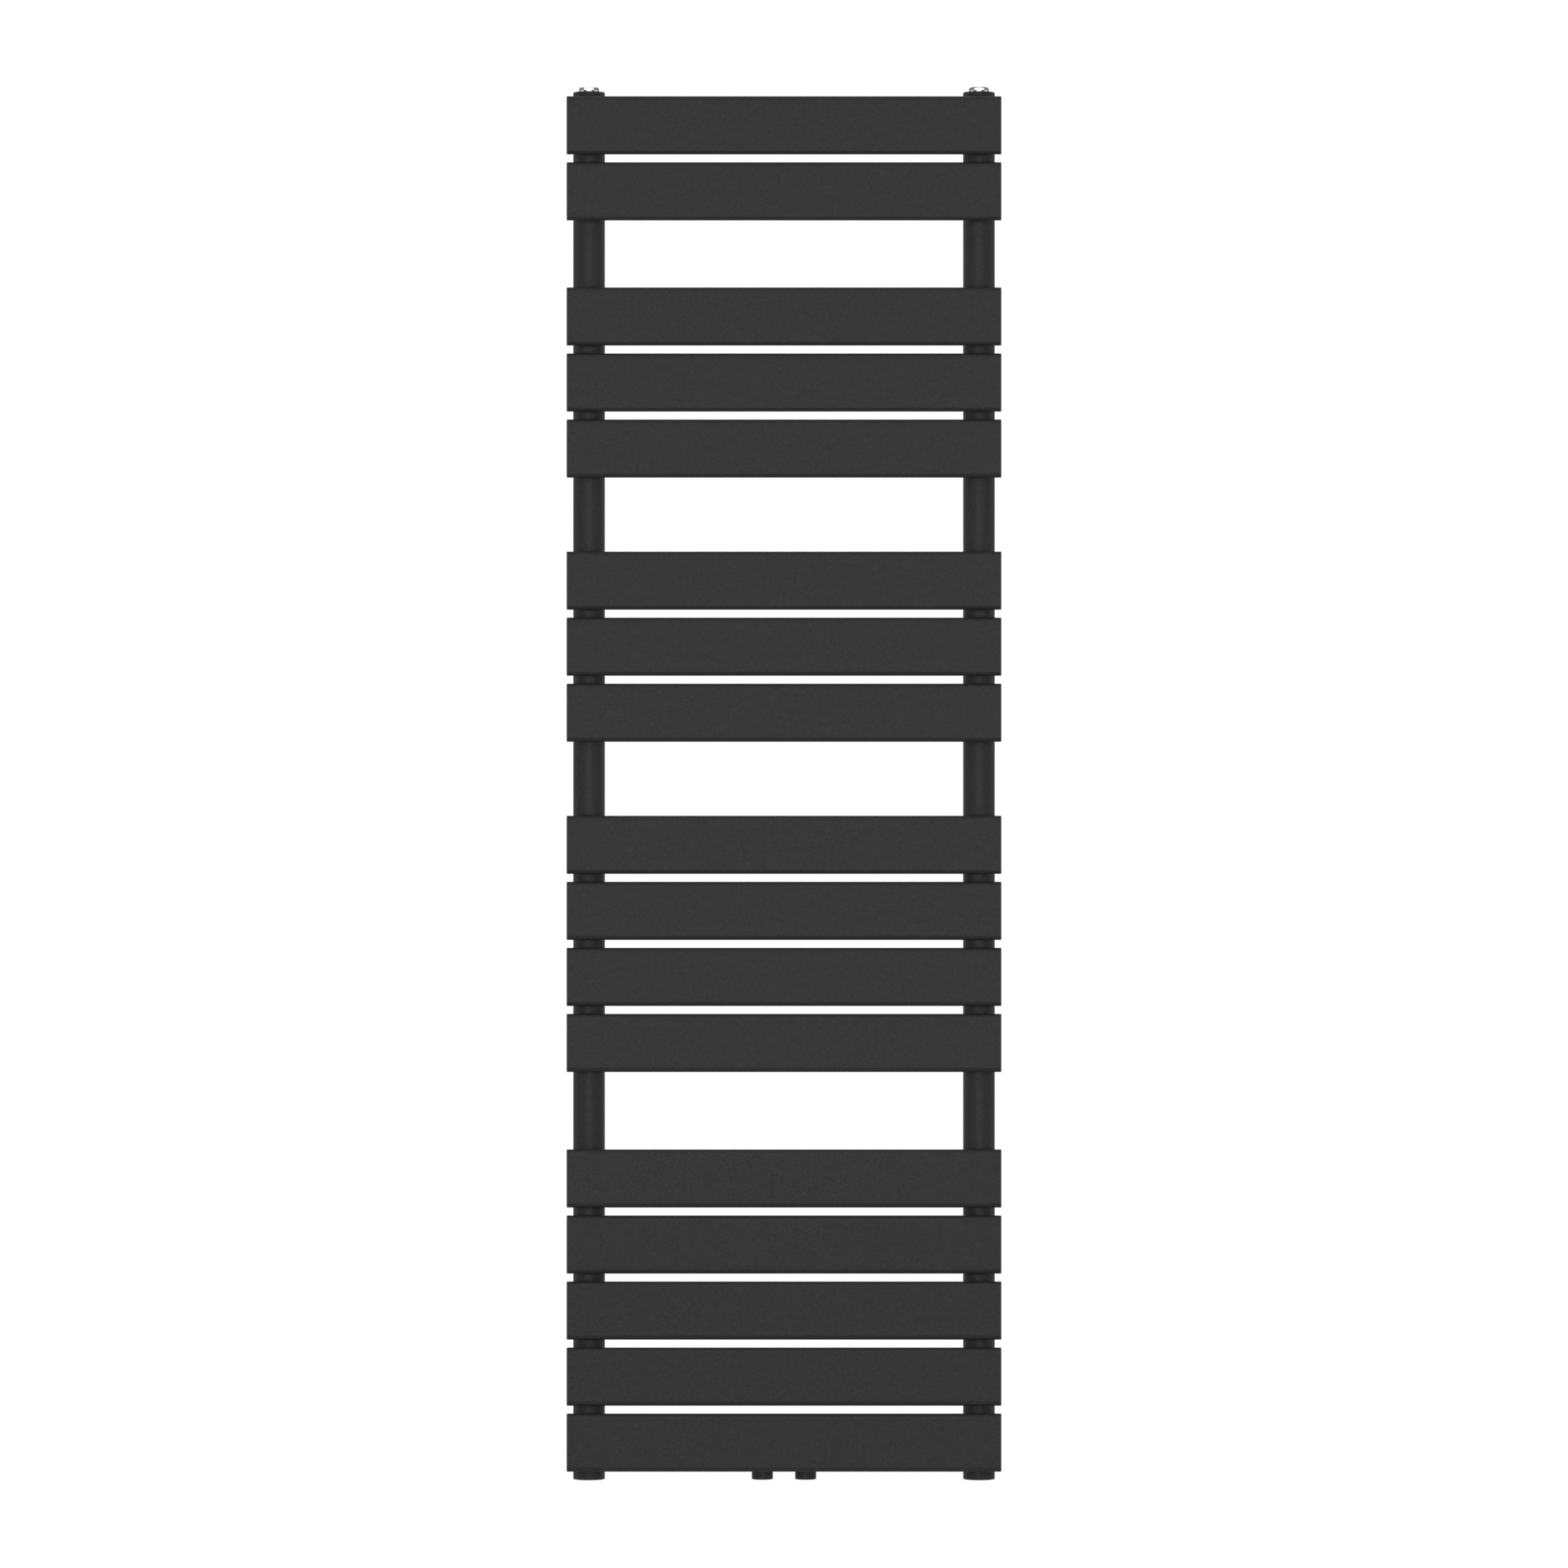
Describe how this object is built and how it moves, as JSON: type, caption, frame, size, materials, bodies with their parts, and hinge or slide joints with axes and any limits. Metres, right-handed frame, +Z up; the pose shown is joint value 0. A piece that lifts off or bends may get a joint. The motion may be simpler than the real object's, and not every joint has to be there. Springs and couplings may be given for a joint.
{
  "type": "towel warmer rack",
  "caption": "Wall-hung hot water towel rack: flat horizontal panels in groups with wide towel gaps between them, in front of round upright collectors.",
  "frame": {"origin": "centre of the four wall fixing holes, on the wall's face", "axes": "+Y into the wall, +Z up along the collectors, +X to the right seen from the room; the rack stands in front of the wall at negative Y"},
  "size_m": [0.5, 0.1, 1.6057],
  "materials": {
    "powder_coat": "fine textured anthracite powder coat, satin",
    "chrome": "polished chrome plate",
    "brass": "turned brass",
    "zinc_plated_steel": "zinc plated, turned",
    "bare_steel": "bare drawn steel, inside the rack",
    "rubber": "black moulded rubber"
  },
  "bodies": {
    "wall_holders": {"wall_socket_bottom_left": "powder_coat", "wall_socket_bottom_right": "powder_coat", "wall_socket_top_left": "powder_coat", "wall_socket_top_right": "powder_coat", "grub_screws": "zinc_plated_steel"},
    "radiator": {"panel_01": "powder_coat", "panel_02": "powder_coat", "panel_03": "powder_coat", "panel_04": "powder_coat", "panel_05": "powder_coat", "panel_06": "powder_coat", "panel_07": "powder_coat", "panel_08": "powder_coat", "panel_09": "powder_coat", "panel_10": "powder_coat", "panel_11": "powder_coat", "panel_12": "powder_coat", "panel_13": "powder_coat", "panel_14": "powder_coat", "panel_15": "powder_coat", "panel_16": "powder_coat", "panel_17": "powder_coat", "end_plates_left": "powder_coat", "end_plates_right": "powder_coat", "collector_left": "powder_coat", "collector_right": "powder_coat", "top_bush_left": "powder_coat", "top_bush_right": "powder_coat", "bottom_cap_left": "powder_coat", "bottom_cap_right": "powder_coat", "manifold": "powder_coat", "flow_socket": "powder_coat", "return_socket": "powder_coat", "boss_bottom_left": "powder_coat", "boss_bottom_right": "powder_coat", "boss_top_left": "powder_coat", "boss_top_right": "powder_coat", "nipples_left": "powder_coat", "nipples_right": "powder_coat", "manifold_baffle": "bare_steel", "blind_plug": "chrome", "blind_plug_seal": "rubber", "vent_body": "chrome", "vent_seal": "rubber", "stem_bottom_left": "zinc_plated_steel", "stem_bottom_right": "zinc_plated_steel", "stem_top_left": "zinc_plated_steel", "stem_top_right": "zinc_plated_steel"},
    "bleed_valve": {"bleed_screw": "brass"}
  },
  "joints": [
    {"name": "wall_distance", "type": "slide", "parent": "wall_holders", "child": "radiator", "axis": [0, 1, 0], "range_m": [-0.007, 0.007]},
    {"name": "bleed_turn", "type": "hinge", "parent": "radiator", "child": "bleed_valve", "pos_m": [0.225, -0.07, 0.803], "axis": [0, 0, 1], "range_deg": [0, 360]}
  ]
}
